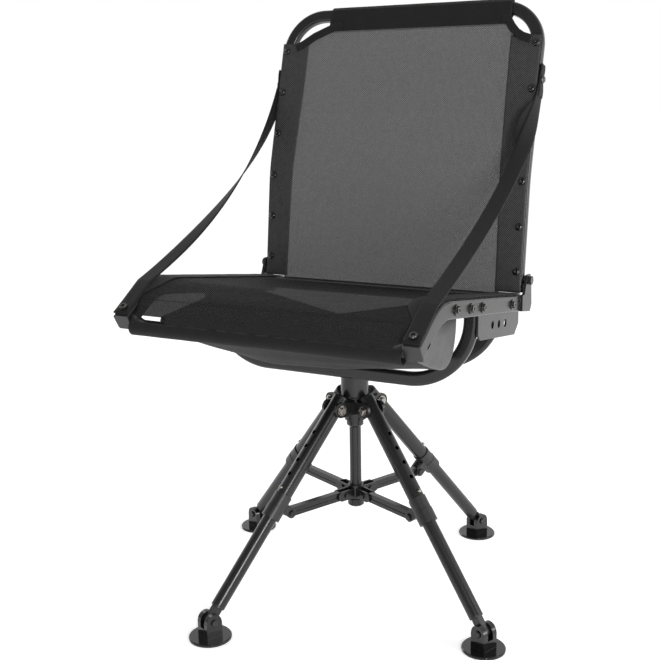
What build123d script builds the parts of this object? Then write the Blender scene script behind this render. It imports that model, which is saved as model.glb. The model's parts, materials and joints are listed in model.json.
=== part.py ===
"""Folding swivel chair for a hunting blind: a mesh seat and back on a swivel, over four telescopic folding legs.

Millimetres, +Z up, the seat faces -Y. The origin is on the floor, on the swivel axis.
"""

from build123d import *
import os
from math import acos, atan2, cos, degrees, hypot, radians, sin, sqrt

# ---- base: four legs hinged on a central hub ----
LEG_AZIMUTHS = [-114.0, -24.0, 66.0, 156.0]
HUB_PIVOT_R, HUB_PIVOT_Z = 42.0, 314.0
FOOT_PIN_R, FOOT_PIN_Z = 293.0, 28.0
UPPER_R, LOWER_R, POST_R = 12.7, 11.1, 9.5
TUBE_WALL = 1.5
RUNNING = 0.05
UPPER_TOP, UPPER_END = -18.0, 190.0
LOWER_TOP, LOWER_END = 138.0, 355.0
BUTTON_T, BUTTON_R, BUTTON_STAND = 153.0, 3.5, 3.5
HOLE_PITCH, HOLE_COUNT = 25.4, 5
COLLAR_TOP, COLLAR_STEP, COLLAR_END = 160.0, 181.0, 202.0
COLLAR_R, COLLAR_LOW_R = 14.3, 15.0
EAR_T, EAR_IN = 178.0, 27.0
EAR_END_R, EAR_THICK = 8.0, 4.0
PIVOT_BOLT_R, STRUT_BOLT_R, FOOT_PIN_SHANK_R = 4.0, 3.0, 3.0
STRUT_WIDTH, STRUT_TALL, STRUT_CUT_BACK = 10.0, 15.0, 12.0
SPIDER_PIVOT_R, SPIDER_PIVOT_Z = 26.0, 162.0
SPIDER_R, SPIDER_BOTTOM, SPIDER_TOP = 13.0, 151.0, 175.0
SIDE_GAP = 0.3
POST_BOTTOM, POST_STOP_Z, HUB_CORE_BOTTOM = 138.0, 150.0, 288.0
FOOT_R, FOOT_THICK, FOOT_BLOCK, TONGUE = 33.0, 4.0, 27.0, 10.0

# ---- swivel ----
HOUSING_R, HOUSING_BORE_R, HOUSING_CHAMFER = 22.5, 19.0, 2.0
HOUSING_BOTTOM, HOUSING_TOP = 328.0, 398.0
SPINDLE_R, SPINDLE_TOP = 12.7, 412.0
SWIVEL_PLATE_THICK = 5.0

# ---- seat ----
RAIL_X, RAIL_SIZE, RAIL_WALL, RAIL_CORNER = 227.3, 25.4, 1.6, 3.0
RAIL_REAR, RAIL_KNEE, RAIL_FRONT = (118.0, 477.1), (-225.6, 532.1), (-293.5, 491.3)
RAIL_BEND = 90.0
CAP_THICK = 2.5
FRONT_TUBE_R, FRONT_TUBE_Y, FRONT_TUBE_Z = 10.0, -290.0, 484.0
REAR_BAR_R, REAR_BAR_Y = 8.0, 100.0
CRADLE_WIDTH, CRADLE_DEPTH, CRADLE_CORNER = 22.0, 15.0, 6.0
CRADLE_X, CRADLE_Z, CRADLE_BEND = 221.5, 387.0, 99.0
CRADLE_YS = {"front": -64.5, "rear": 48.5}
PLATE_X, PLATE_THICK, PLATE_DROP = 232.5, 3.0, 37.0
PLATE_FRONT, PLATE_REAR = -74.0, 117.0
PLATE_HOLE_R = 6.25
PLATE_HOLES = [(-10.5, 468.8), (19.5, 464.0), (49.5, 459.2)]
RAIL_SCREW_YS = [-176.0, -118.0, -70.0, 68.0]
FABRIC = 2.2
SEAT_REAR = 110.0

# ---- back ----
HINGE_Y, HINGE_Z = 139.5, 511.5
BRACKET_X, BRACKET_THICK = 240.0, 4.5
BACK_X, BACK_WIDTH, BACK_DEPTH, BACK_CORNER = 227.0, 20.0, 16.0, 5.0
BACK_FOOT, BACK_KNEE, BACK_TOP = (133.5, 492.0), (155.3, 674.4), (230.3, 938.5)
BACK_BEND, BACK_CORNER_BEND = 300.0, 65.0
BACK_SCREW_COUNT = 6
STRAP_BOLT_Z = 824.0
STRAP_WIDTH, STRAP_THICK, STRAP_GAP = 25.0, 1.6, 0.1
STRAP_CURVE = [(194.0, 811.0), (130.0, 700.0), (-60.0, 600.0), (-240.0, 542.5)]

LEG_ANGLE = degrees(atan2(FOOT_PIN_R - HUB_PIVOT_R, HUB_PIVOT_Z - FOOT_PIN_Z))
LEG_LENGTH = hypot(FOOT_PIN_R - HUB_PIVOT_R, HUB_PIVOT_Z - FOOT_PIN_Z)
LEG_SIN, LEG_COS = sin(radians(LEG_ANGLE)), cos(radians(LEG_ANGLE))
CLEVIS_HALF, EAR_PLATE = UPPER_R + SIDE_GAP, 5.0
RAIL_SLOPE = (RAIL_KNEE[1] - RAIL_REAR[1]) / (RAIL_KNEE[0] - RAIL_REAR[0])
RAIL_NORMAL = sqrt(1 + RAIL_SLOPE**2)


def write(part, name):
    """Label a finished piece and save it as a node of its own."""
    part.label = name
    export_step(part, f"parts/{name}.step")


def outward(azimuth):
    return Vector(cos(radians(azimuth)), sin(radians(azimuth)), 0)


def tangent(azimuth):
    return Vector(-sin(radians(azimuth)), cos(radians(azimuth)), 0)


def radial_plane(azimuth, offset=0.0):
    """Upright plane through the swivel axis: local x outward, local y up."""
    return Plane(origin=tangent(azimuth) * offset, x_dir=outward(azimuth), z_dir=tangent(azimuth) * -1)


def leg_point(azimuth, along, raised=0.0):
    """A point of a leg: along its axis from the hub pivot, and raised off its outer side."""
    radius = HUB_PIVOT_R + along * LEG_SIN + raised * LEG_COS
    return outward(azimuth) * radius + Vector(0, 0, HUB_PIVOT_Z - along * LEG_COS + raised * LEG_SIN)


def down_leg(azimuth):
    return outward(azimuth) * LEG_SIN - Vector(0, 0, LEG_COS)


def leg_plane(azimuth, along):
    """Plane square to the leg: local x tangential, local y off the leg's outer side."""
    return Plane(origin=leg_point(azimuth, along), x_dir=tangent(azimuth), z_dir=down_leg(azimuth))


def leg_top_plane(azimuth, along, raised=0.0):
    """Plane facing off the leg's outer side, with local x down the leg."""
    normal = outward(azimuth) * LEG_COS + Vector(0, 0, LEG_SIN)
    return Plane(origin=leg_point(azimuth, along, raised), x_dir=down_leg(azimuth), z_dir=normal)


def cross_plane(point, azimuth, offset=0.0):
    """Plane square to a leg's hinge axes, centred on a point and moved along the axis."""
    along = tangent(azimuth)
    return Plane(origin=point + along * offset, x_dir=outward(azimuth), z_dir=along)


def ear_point(azimuth):
    return leg_point(azimuth, EAR_T, -EAR_IN)


def headed_pin(point, azimuth, radius, half_length, head_r, head_thick):
    """A pivot bolt along a hinge axis, with a chamfered head at each end."""
    with BuildPart() as pin:
        with BuildSketch(cross_plane(point, azimuth)):
            Circle(radius)
        extrude(amount=half_length, both=True)
        for side in (-1, 1):
            with BuildSketch(cross_plane(point, azimuth, side * half_length)):
                Circle(head_r)
            extrude(amount=side * head_thick)
        ends = pin.faces().filter_by(Axis((0, 0, 0), tuple(tangent(azimuth)))).sort_by(
            Axis((0, 0, 0), tuple(tangent(azimuth))))
        chamfer(ends[0].edges() + ends[-1].edges(), head_thick * 0.3)
    return pin.part


def round_tube(radius, wall, azimuth, start, end):
    """A length of round leg tube, from start to end along the leg."""
    with BuildPart() as tube:
        with BuildSketch(leg_plane(azimuth, start)):
            Circle(radius)
            Circle(radius - wall, mode=Mode.SUBTRACT)
        extrude(amount=end - start)
    return tube.part


def upper_leg(azimuth):
    """The outer leg tube, drilled for the hub bolt and for the five button positions."""
    with BuildPart() as leg:
        add(round_tube(UPPER_R, TUBE_WALL, azimuth, UPPER_TOP, UPPER_END))
        with BuildSketch(cross_plane(leg_point(azimuth, 0), azimuth)):
            Circle(PIVOT_BOLT_R + RUNNING)
        extrude(amount=UPPER_R + 1, both=True, mode=Mode.SUBTRACT)
        for k in range(HOLE_COUNT):
            with BuildSketch(leg_top_plane(azimuth, BUTTON_T - k * HOLE_PITCH)):
                Circle(BUTTON_R)
            extrude(amount=UPPER_R + 1, mode=Mode.SUBTRACT)
    return leg.part


def leg_cap(azimuth):
    """Moulded plug in the top of a leg tube, with a rounded cap over its end."""
    cap_thick, depth = 5.0, 32.0
    with BuildPart() as cap:
        with BuildSketch(leg_plane(azimuth, UPPER_TOP)):
            Circle(UPPER_R)
        extrude(amount=-cap_thick)
        outer = cap.faces().sort_by(Axis((0, 0, 0), tuple(down_leg(azimuth))))[0]
        fillet(outer.edges(), cap_thick * 0.9)
        with BuildSketch(leg_plane(azimuth, UPPER_TOP)):
            Circle(UPPER_R - TUBE_WALL)
        extrude(amount=depth)
        with BuildSketch(cross_plane(leg_point(azimuth, 0), azimuth)):
            Circle(PIVOT_BOLT_R + RUNNING)
        extrude(amount=UPPER_R + 1, both=True, mode=Mode.SUBTRACT)
    return cap.part


def leg_collar(azimuth):
    """Two-step sleeve at the foot of the outer tube, with two ears for the strut."""
    bore = LOWER_R + RUNNING
    with BuildPart() as collar:
        with BuildSketch(leg_plane(azimuth, COLLAR_TOP)):
            Circle(COLLAR_R)
        extrude(amount=COLLAR_STEP - COLLAR_TOP)
        with BuildSketch(leg_plane(azimuth, COLLAR_STEP)):
            Circle(COLLAR_LOW_R)
        extrude(amount=COLLAR_END - COLLAR_STEP)
        for side in (-1, 1):
            inner = side * (STRUT_WIDTH / 2 + SIDE_GAP)
            with BuildSketch(cross_plane(ear_point(azimuth), azimuth, inner)):
                Circle(EAR_END_R)
            extrude(amount=side * EAR_THICK)
            reach = EAR_IN - UPPER_R + 4
            with BuildSketch(leg_top_plane(azimuth, EAR_T, -EAR_IN)):
                with Locations((0, -side * (abs(inner) + EAR_THICK / 2))):
                    Rectangle(2 * EAR_END_R, EAR_THICK)
            extrude(amount=reach)
        with BuildSketch(leg_plane(azimuth, COLLAR_TOP - 1)):
            Circle(UPPER_R)
        extrude(amount=UPPER_END - COLLAR_TOP + 1, mode=Mode.SUBTRACT)
        with BuildSketch(leg_plane(azimuth, UPPER_END - 1)):
            Circle(bore)
        extrude(amount=COLLAR_END - UPPER_END + 2, mode=Mode.SUBTRACT)
        with BuildSketch(cross_plane(ear_point(azimuth), azimuth)):
            Circle(STRUT_BOLT_R + RUNNING)
        extrude(amount=STRUT_WIDTH + EAR_THICK, both=True, mode=Mode.SUBTRACT)
    return collar.part


def strut(azimuth):
    """Flat bar from the collar's ears to the spider, grooved on both sides, with its outer bolt."""
    ear = ear_point(azimuth)
    outer_r, outer_z = ear.dot(outward(azimuth)), ear.Z
    inner_r = SPIDER_PIVOT_R + STRUT_CUT_BACK
    tilt = degrees(atan2(outer_z - SPIDER_PIVOT_Z, outer_r - SPIDER_PIVOT_R))
    length = outer_r - inner_r
    with BuildPart() as bar:
        with BuildSketch(radial_plane(azimuth)):
            with Locations(Location((outer_r, outer_z), tilt)):
                Circle(STRUT_TALL / 2)
                with Locations((-length / 2, 0)):
                    Rectangle(length, STRUT_TALL)
        extrude(amount=STRUT_WIDTH / 2, both=True)
        for side in (-1, 1):
            with BuildSketch(radial_plane(azimuth, side * STRUT_WIDTH / 2)):
                with Locations(Location((outer_r, outer_z), tilt)):
                    with Locations((-length / 2 - 4, 0)):
                        Rectangle(length - 16, 2.4)
            extrude(amount=side * 1.0, mode=Mode.SUBTRACT)
        add(headed_pin(ear, azimuth, STRUT_BOLT_R, STRUT_WIDTH / 2 + EAR_THICK + 2 * SIDE_GAP, 5.5, 3.0))
    return bar.part


def lower_leg(azimuth):
    """The inner leg tube that slides in the outer one, drilled for its snap button."""
    with BuildPart() as leg:
        add(round_tube(LOWER_R, TUBE_WALL, azimuth, LOWER_TOP, LOWER_END))
        with BuildSketch(leg_top_plane(azimuth, BUTTON_T)):
            Circle(BUTTON_R)
        extrude(amount=LOWER_R + 1, mode=Mode.SUBTRACT)
    return leg.part


def snap_button(azimuth):
    """Domed spring button that locks the two leg tubes."""
    radius, stem_bottom, stem_top = BUTTON_R - 0.15, LOWER_R - 5, UPPER_R + BUTTON_STAND
    with BuildPart() as button:
        with BuildSketch(leg_top_plane(azimuth, BUTTON_T, stem_bottom)):
            Circle(radius)
        extrude(amount=stem_top - stem_bottom)
        normal = leg_top_plane(azimuth, BUTTON_T).z_dir
        fillet(button.faces().sort_by(Axis((0, 0, 0), tuple(normal)))[-1].edges(), 2.4)
    return button.part


def foot_knuckle(azimuth):
    """Plug in the lower tube's end, with the tongue and pin that carry the foot."""
    flange = 3.0
    with BuildPart() as knuckle:
        with BuildSketch(leg_plane(azimuth, LOWER_END)):
            Circle(LOWER_R - TUBE_WALL)
        extrude(amount=-26.0)
        with BuildSketch(leg_plane(azimuth, LOWER_END)):
            Circle(LOWER_R)
        extrude(amount=flange)
        with BuildSketch(leg_plane(azimuth, LOWER_END)):
            Rectangle(TONGUE, 15.0)
        extrude(amount=LEG_LENGTH - LOWER_END)
        with BuildSketch(cross_plane(leg_point(azimuth, LEG_LENGTH), azimuth)):
            Circle(7.5)
        extrude(amount=TONGUE / 2, both=True)
        add(headed_pin(leg_point(azimuth, LEG_LENGTH), azimuth, FOOT_PIN_SHANK_R,
                       FOOT_BLOCK / 2 + SIDE_GAP, 5.5, 2.5))
    return knuckle.part


def foot(azimuth):
    """Round moulded pad with a slotted barrel that the leg's tongue swings in."""
    pin = leg_point(azimuth, LEG_LENGTH)
    centre = Plane(origin=(pin.X, pin.Y, 0), x_dir=outward(azimuth), z_dir=(0, 0, 1))
    half = FOOT_BLOCK / 2
    with BuildPart() as pad:
        with BuildSketch(centre):
            Circle(FOOT_R)
        extrude(amount=FOOT_THICK)
        chamfer(pad.faces().sort_by(Axis.Z)[-1].edges(), 1.2)
        with BuildSketch(centre):
            Rectangle(FOOT_BLOCK, FOOT_BLOCK)
        extrude(amount=FOOT_PIN_Z)
        with BuildSketch(cross_plane(pin, azimuth)):
            Circle(half - 0.5)
        extrude(amount=half, both=True)
        with BuildSketch(centre.offset(FOOT_PIN_Z - 9.0)):
            Rectangle(FOOT_BLOCK + 2, TONGUE + 2 * SIDE_GAP)
        extrude(amount=30.0, mode=Mode.SUBTRACT)
        with BuildSketch(cross_plane(pin, azimuth)):
            Circle(FOOT_PIN_SHANK_R + RUNNING)
        extrude(amount=FOOT_BLOCK, both=True, mode=Mode.SUBTRACT)
    return pad.part


def hub_casting():
    """Core with four pairs of clevis ears, and the stub that the swivel stands on."""
    ear_out, ear_round, core_r = CLEVIS_HALF + EAR_PLATE, 12.5, 17.0
    with BuildPart() as hub:
        with BuildSketch(Plane.XY.offset(HUB_CORE_BOTTOM)):
            Circle(core_r)
        extrude(amount=HOUSING_BOTTOM - 2 - HUB_CORE_BOTTOM)
        for azimuth in LEG_AZIMUTHS:
            for side in (-1, 1):
                with BuildSketch(radial_plane(azimuth, side * CLEVIS_HALF)):
                    with Locations((HUB_PIVOT_R, HUB_PIVOT_Z)):
                        Circle(ear_round)
                    with BuildLine():
                        Polyline((10, HUB_PIVOT_Z - ear_round), (HUB_PIVOT_R, HUB_PIVOT_Z - ear_round),
                                 (HUB_PIVOT_R, HUB_PIVOT_Z + ear_round), (20, HOUSING_BOTTOM - 5),
                                 (10, HOUSING_BOTTOM - 5), close=True)
                    make_face()
                extrude(amount=-side * (ear_out - CLEVIS_HALF))
        for azimuth in LEG_AZIMUTHS:
            with BuildSketch(cross_plane(leg_point(azimuth, 0), azimuth)):
                Circle(PIVOT_BOLT_R + RUNNING)
            extrude(amount=ear_out + 1, both=True, mode=Mode.SUBTRACT)
            with BuildSketch(leg_plane(azimuth, UPPER_TOP - 5)):
                Circle(UPPER_R + 0.6)
            extrude(amount=30, mode=Mode.SUBTRACT)
        with BuildSketch(Plane.XY.offset(HUB_CORE_BOTTOM)):
            Circle(POST_R)
        extrude(amount=22, mode=Mode.SUBTRACT)
        with BuildSketch(Plane.XY.offset(HOUSING_BOTTOM - 12)):
            Circle(SPINDLE_R)
        extrude(amount=20, mode=Mode.SUBTRACT)
    return hub.part


def hub_bolts():
    """The four bolts that the legs hinge on, each with two washers."""
    outside = CLEVIS_HALF + EAR_PLATE
    with BuildPart() as bolts:
        for azimuth in LEG_AZIMUTHS:
            add(headed_pin(leg_point(azimuth, 0), azimuth, PIVOT_BOLT_R, outside, 6.3, 5.5))
            for side in (-1, 1):
                with BuildSketch(cross_plane(leg_point(azimuth, 0), azimuth, side * outside)):
                    Circle(8.5)
                extrude(amount=side * 1.6)
    return bolts.part


def centre_post():
    """Fixed post under the hub, with the collar at its top and the stop at its foot."""
    with BuildPart() as post:
        with BuildSketch(Plane.XY.offset(POST_BOTTOM + 4)):
            Circle(POST_R)
        extrude(amount=HUB_CORE_BOTTOM + 22 - POST_BOTTOM - 4)
        with BuildSketch(Plane.XY.offset(POST_BOTTOM)):
            Circle(13.5)
        extrude(amount=POST_STOP_Z - POST_BOTTOM)
        chamfer(post.faces().filter_by(Axis.Z).sort_by(Axis.Z)[0].edges(), 2)
        with BuildSketch(Plane.XZ):
            with BuildLine():
                Polyline((POST_R - 1, HUB_CORE_BOTTOM), (13.8, HUB_CORE_BOTTOM), (13.8, HUB_CORE_BOTTOM - 9),
                         (POST_R - 1, HUB_CORE_BOTTOM - 14), close=True)
            make_face()
        revolve(axis=Axis.Z)
    return post.part


def spider():
    """Sliding sleeve on the post, with a fork and two bolt heads for each strut."""
    inner, outer = STRUT_WIDTH / 2 + SIDE_GAP, STRUT_WIDTH / 2 + SIDE_GAP + 3.0
    fork_half, fork_end = 8.0, SPIDER_PIVOT_R + 9.0
    with BuildPart() as sleeve:
        with BuildSketch(Plane.XY.offset(SPIDER_BOTTOM)):
            Circle(SPIDER_R)
        extrude(amount=SPIDER_TOP - SPIDER_BOTTOM)
        for azimuth in LEG_AZIMUTHS:
            for side in (-1, 1):
                with BuildSketch(radial_plane(azimuth, side * inner)):
                    with Locations((fork_end, SPIDER_PIVOT_Z)):
                        Circle(fork_half)
                    with Locations(((fork_end + SPIDER_R - 3) / 2, SPIDER_PIVOT_Z)):
                        Rectangle(fork_end - SPIDER_R + 3, 2 * fork_half)
                extrude(amount=-side * (outer - inner))
                with BuildSketch(radial_plane(azimuth, side * outer)):
                    with Locations((SPIDER_PIVOT_R, SPIDER_PIVOT_Z)):
                        Circle(4.5)
                extrude(amount=-side * 2.5)
        with BuildSketch(Plane.XY.offset(SPIDER_BOTTOM)):
            Circle(POST_R + RUNNING)
        extrude(amount=SPIDER_TOP - SPIDER_BOTTOM, mode=Mode.SUBTRACT)
    return sleeve.part


def swivel_spindle():
    """Tube that stands in the hub and carries the bearings."""
    with BuildPart() as spindle:
        with BuildSketch(Plane.XY.offset(HOUSING_BOTTOM - 12)):
            Circle(SPINDLE_R)
            Circle(SPINDLE_R - 3, mode=Mode.SUBTRACT)
        extrude(amount=SPINDLE_TOP - HOUSING_BOTTOM + 12)
    return spindle.part


def swivel_bearings():
    """Flanged plain bushes at both ends of the housing."""
    with BuildPart() as bushes:
        for start, length in ((HOUSING_BOTTOM, 16), (HOUSING_TOP - 12, 17)):
            with BuildSketch(Plane.XY.offset(start)):
                Circle(HOUSING_BORE_R - RUNNING)
                Circle(SPINDLE_R, mode=Mode.SUBTRACT)
            extrude(amount=length)
        with BuildSketch(Plane.XY.offset(HOUSING_BOTTOM - 2)):
            Circle(HOUSING_R - HOUSING_CHAMFER)
            Circle(SPINDLE_R, mode=Mode.SUBTRACT)
        extrude(amount=2.0 - RUNNING)
    return bushes.part


def spindle_nut():
    """Washer and nut that hold the seat down on the spindle."""
    washer_z = HOUSING_TOP + SWIVEL_PLATE_THICK + RUNNING
    with BuildPart() as nut:
        with BuildSketch(Plane.XY.offset(washer_z)):
            Circle(23)
            Circle(SPINDLE_R, mode=Mode.SUBTRACT)
        extrude(amount=2)
        with BuildSketch(Plane.XY.offset(washer_z + 2)):
            RegularPolygon(18, 6)
            Circle(SPINDLE_R, mode=Mode.SUBTRACT)
        extrude(amount=7)
    return nut.part


def swivel_housing():
    """Bearing housing, chamfered at its foot."""
    with BuildPart() as housing:
        with BuildSketch(Plane.XY.offset(HOUSING_BOTTOM)):
            Circle(HOUSING_R)
        extrude(amount=HOUSING_TOP - HOUSING_BOTTOM)
        chamfer(housing.faces().sort_by(Axis.Z)[0].edges(), HOUSING_CHAMFER)
        with BuildSketch(Plane.XY.offset(HOUSING_BOTTOM)):
            Circle(HOUSING_BORE_R)
        extrude(amount=HOUSING_TOP - HOUSING_BOTTOM, mode=Mode.SUBTRACT)
    return housing.part


def swivel_plate():
    """Plate across the two cradle tubes, with its four bolt heads."""
    front, rear = CRADLE_YS["front"] - CRADLE_DEPTH / 2, CRADLE_YS["rear"] + CRADLE_DEPTH / 2
    with BuildPart() as plate:
        with BuildSketch(Plane.XY.offset(HOUSING_TOP)):
            with Locations((0, (front + rear) / 2)):
                RectangleRounded(120, rear - front, 8)
            Circle(HOUSING_BORE_R, mode=Mode.SUBTRACT)
        extrude(amount=SWIVEL_PLATE_THICK)
        for y in CRADLE_YS.values():
            with BuildSketch(Plane.XY.offset(HOUSING_TOP + SWIVEL_PLATE_THICK)):
                with Locations((-45, y), (45, y)):
                    RegularPolygon(6.5, 6)
            extrude(amount=4)
    return plate.part


def rail_point(y, raised=0.0):
    """Centre height of a seat rail's long straight run at y, raised square to the rail."""
    return RAIL_REAR[1] + (y - RAIL_REAR[0]) * RAIL_SLOPE + raised * RAIL_NORMAL


def rail_profile(side, size, corner):
    """The rail's section, placed at its rear end."""
    start = Vector(side * RAIL_X, *RAIL_REAR)
    direction = Vector(0, RAIL_KNEE[0] - RAIL_REAR[0], RAIL_KNEE[1] - RAIL_REAR[1])
    with BuildSketch(Plane(origin=start, x_dir=(1, 0, 0), z_dir=direction)) as section:
        RectangleRounded(size, size, corner)
    return section.sketch


def rail(side):
    """Square seat rail, bent down at the front, with a drain slot near its end."""
    with BuildPart() as tube:
        with BuildLine(Plane.YZ.offset(side * RAIL_X)) as path:
            FilletPolyline(RAIL_REAR, RAIL_KNEE, RAIL_FRONT, radius=RAIL_BEND)
        sweep(sections=rail_profile(side, RAIL_SIZE, RAIL_CORNER), path=path.wires()[0])
        sweep(sections=rail_profile(side, RAIL_SIZE - 2 * RAIL_WALL, 1.5), path=path.wires()[0],
              mode=Mode.SUBTRACT)
        with BuildSketch(Plane.YZ.offset(side * (RAIL_X + RAIL_SIZE / 2))):
            with Locations(Location((-272.0, 496.0), 31)):
                SlotOverall(11, 3)
        extrude(amount=-side * RAIL_WALL * 1.5, mode=Mode.SUBTRACT)
    return tube.part


def rail_end_caps():
    """Moulded caps over the front and rear ends of both rails."""
    run = Vector(0, RAIL_FRONT[0] - RAIL_KNEE[0], RAIL_FRONT[1] - RAIL_KNEE[1])
    back = Vector(0, RAIL_REAR[0] - RAIL_KNEE[0], RAIL_REAR[1] - RAIL_KNEE[1])
    with BuildPart() as caps:
        for side in (-1, 1):
            for (y, z), direction in ((RAIL_FRONT, run), (RAIL_REAR, back)):
                with BuildSketch(Plane(origin=(side * RAIL_X, y, z), x_dir=(1, 0, 0), z_dir=direction)):
                    RectangleRounded(RAIL_SIZE, RAIL_SIZE, RAIL_CORNER)
                extrude(amount=CAP_THICK)
    return caps.part


def front_tube():
    """Round cross tube between the rails' front ends, turned up at both ends."""
    reach, turned, rise, back = RAIL_X - RAIL_SIZE / 2, 26.0, 10.0, 4.0
    end = (reach + 4, FRONT_TUBE_Y + back, FRONT_TUBE_Z + rise)
    start = Plane(origin=(-end[0], end[1], end[2]), z_dir=(turned, -back, -rise))
    with BuildPart() as tube:
        with BuildLine() as path:
            FilletPolyline((-end[0], end[1], end[2]), (turned - end[0], FRONT_TUBE_Y, FRONT_TUBE_Z),
                           (end[0] - turned, FRONT_TUBE_Y, FRONT_TUBE_Z), end, radius=40)
        for radius, mode in ((FRONT_TUBE_R, Mode.ADD), (FRONT_TUBE_R - TUBE_WALL, Mode.SUBTRACT)):
            with BuildSketch(start) as section:
                Circle(radius)
            sweep(sections=section.sketch, path=path.wires()[0], mode=mode)
        split(bisect_by=Plane.YZ.offset(-reach), keep=Keep.TOP)
        split(bisect_by=Plane.YZ.offset(reach), keep=Keep.BOTTOM)
    return tube.part


def rear_crossbar():
    """Round bar between the rails under the rear edge of the seat fabric."""
    reach = RAIL_X - RAIL_SIZE / 2
    with BuildPart() as bar:
        with BuildSketch(Plane.YZ.offset(-reach)):
            with Locations((REAR_BAR_Y, rail_point(REAR_BAR_Y) + 2)):
                Circle(REAR_BAR_R)
                Circle(REAR_BAR_R - TUBE_WALL, mode=Mode.SUBTRACT)
        extrude(amount=2 * reach)
    return bar.part


def cradle_tube(y):
    """Flattened U tube that hangs from both rails and passes over the swivel."""
    top = 520.0
    with BuildPart() as tube:
        with BuildLine(Plane.XZ.offset(-y)) as path:
            FilletPolyline((-CRADLE_X, top), (-CRADLE_X, CRADLE_Z), (CRADLE_X, CRADLE_Z), (CRADLE_X, top),
                           radius=CRADLE_BEND)
        for shrink, mode in ((0, Mode.ADD), (2 * TUBE_WALL, Mode.SUBTRACT)):
            with BuildSketch(Plane(origin=(-CRADLE_X, y, top), x_dir=(1, 0, 0), z_dir=(0, 0, -1))) as section:
                RectangleRounded(CRADLE_WIDTH - shrink, CRADLE_DEPTH - shrink, CRADLE_CORNER - shrink / 2)
            sweep(sections=section.sketch, path=path.wires()[0], mode=mode)
        under_rail = Plane(origin=(0, y, rail_point(y, -RAIL_SIZE / 2)), x_dir=(1, 0, 0),
                           z_dir=(0, -RAIL_SLOPE, 1))
        split(bisect_by=under_rail, keep=Keep.BOTTOM)
    return tube.part


def mount_plates():
    """Side plates below the rails, each with three accessory holes."""
    with BuildPart() as plates:
        for side in (-1, 1):
            with BuildSketch(Plane.YZ.offset(side * PLATE_X)):
                with BuildLine():
                    Polyline((PLATE_FRONT, rail_point(PLATE_FRONT, -RAIL_SIZE / 2)),
                             (PLATE_REAR, rail_point(PLATE_REAR, -RAIL_SIZE / 2)),
                             (PLATE_REAR, rail_point(PLATE_REAR, -RAIL_SIZE / 2) - PLATE_DROP + 18),
                             (PLATE_REAR - 20, rail_point(PLATE_REAR - 20, -RAIL_SIZE / 2) - PLATE_DROP),
                             (PLATE_FRONT + 9, rail_point(PLATE_FRONT + 9, -RAIL_SIZE / 2) - PLATE_DROP),
                             (PLATE_FRONT, rail_point(PLATE_FRONT, -RAIL_SIZE / 2) - PLATE_DROP + 9),
                             close=True)
                make_face()
                with Locations(*PLATE_HOLES):
                    Circle(PLATE_HOLE_R, mode=Mode.SUBTRACT)
            extrude(amount=side * PLATE_THICK)
    return plates.part


def hinge_brackets():
    """Flat bars welded on the rails' rear ends, each carrying one backrest hinge bolt."""
    bottom, top, rear = 457.0, HINGE_Z + 9.0, 157.0
    with BuildPart() as brackets:
        for side in (-1, 1):
            with BuildSketch(Plane.YZ.offset(side * BRACKET_X)):
                with BuildLine():
                    Polyline((108, 466.5), (rear - 8, bottom + 2), (rear, 470), (rear - 4, HINGE_Z - 4),
                             (HINGE_Y + 8, top), (HINGE_Y - 7, top), (119, 492), (108, 492), close=True)
                make_face()
                with Locations((HINGE_Y, HINGE_Z)):
                    Circle(PIVOT_BOLT_R + RUNNING, mode=Mode.SUBTRACT)
            extrude(amount=side * BRACKET_THICK)
    return brackets.part


def dome_screw(x, y, z, direction, radius, height):
    """A low domed screw head lying on a surface."""
    with BuildPart() as screw:
        with BuildSketch(Plane(origin=(x, y, z), z_dir=direction)):
            Circle(radius)
        extrude(amount=height)
        far = screw.faces().sort_by(Axis((0, 0, 0), direction))[-1]
        chamfer(far.edges(), height * 0.45)
    return screw.part


def seat_screws():
    """Flanged screw heads along the rails' outer faces, and the strap bolts on their front slopes."""
    run = Vector(0, RAIL_KNEE[0] - RAIL_FRONT[0], RAIL_KNEE[1] - RAIL_FRONT[1]).normalized()
    up = Vector(0, -run.Z, run.Y)
    with BuildPart() as screws:
        for side in (-1, 1):
            for y in RAIL_SCREW_YS:
                add(dome_screw(side * (RAIL_X + RAIL_SIZE / 2), y, rail_point(y), (side, 0, 0), 7.5, 5))
            stack = RAIL_SIZE / 2 + FABRIC + STRAP_THICK + 2 * STRAP_GAP
            at = Vector(side * RAIL_X, *RAIL_FRONT) + run * 12 + up * stack
            add(dome_screw(at.X, at.Y, at.Z, tuple(up), 7.0, 5))
    return screws.part


def offset_path(first, knee, last, amount, bend):
    """Points of a bent run moved square to itself, with the bend's new radius."""
    a = (Vector(*knee) - Vector(*first)).normalized()
    b = (Vector(*last) - Vector(*knee)).normalized()
    left_a, left_b = Vector(-a.Y, a.X), Vector(-b.Y, b.X)
    corner = Vector(*knee) + (left_a + left_b) * (amount / (1 + left_a.dot(left_b)))
    start, end = Vector(*first) + left_a * amount, Vector(*last) + left_b * amount
    turn = a.X * b.Y - a.Y * b.X
    return [(p.X, p.Y) for p in (start, corner, end)], bend - amount * (1 if turn > 0 else -1)


def bent_sheet(first, knee, last, near, far, bend, half_width):
    """A sheet over a bent run, between two distances square to it, as wide as twice half_width."""
    inner, inner_bend = offset_path(first, knee, last, near, bend)
    outer, outer_bend = offset_path(first, knee, last, far, bend)
    with BuildPart() as sheet:
        with BuildSketch(Plane.YZ.offset(-half_width)):
            with BuildLine():
                low = FilletPolyline(*inner, radius=inner_bend)
                high = FilletPolyline(*outer, radius=outer_bend)
                Line(low @ 0, high @ 0)
                Line(low @ 1, high @ 1)
            make_face()
        extrude(amount=2 * half_width)
    return sheet.part


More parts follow.
